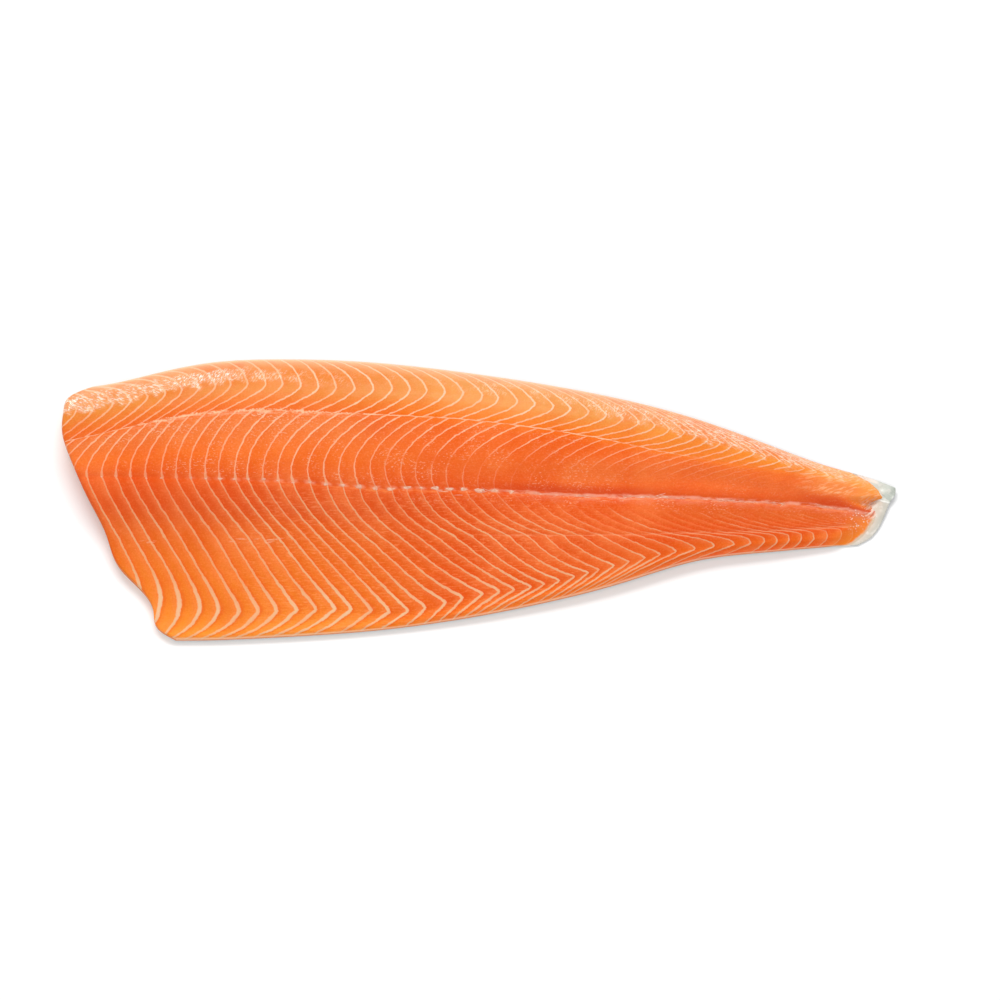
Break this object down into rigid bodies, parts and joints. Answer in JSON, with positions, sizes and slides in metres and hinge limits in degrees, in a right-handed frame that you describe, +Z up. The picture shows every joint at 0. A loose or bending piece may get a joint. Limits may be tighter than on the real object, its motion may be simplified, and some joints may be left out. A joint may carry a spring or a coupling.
{
  "type": "raw salmon fillet",
  "caption": "Long raw fish fillet lying skin down, thick along the back, thin at the belly flap and tapering to a narrow tail, with a strip of bare skin showing past the tail end.",
  "frame": {"origin": "centre of the overall box in plan, at the level of the table", "axes": "+X toward the tail, +Y toward the back of the fish, -Y toward the belly, +Z up out of the flesh side"},
  "size_m": [0.5752, 0.1976, 0.032],
  "materials": {
    "flesh": "moist raw salmon flesh, orange with pale fat lines, soft wet shine",
    "skin": "moist fish skin, silver grey, darker toward the back, fine scales"
  },
  "bodies": {
    "root": {"flesh": "flesh", "skin": "skin"}
  },
  "joints": []
}
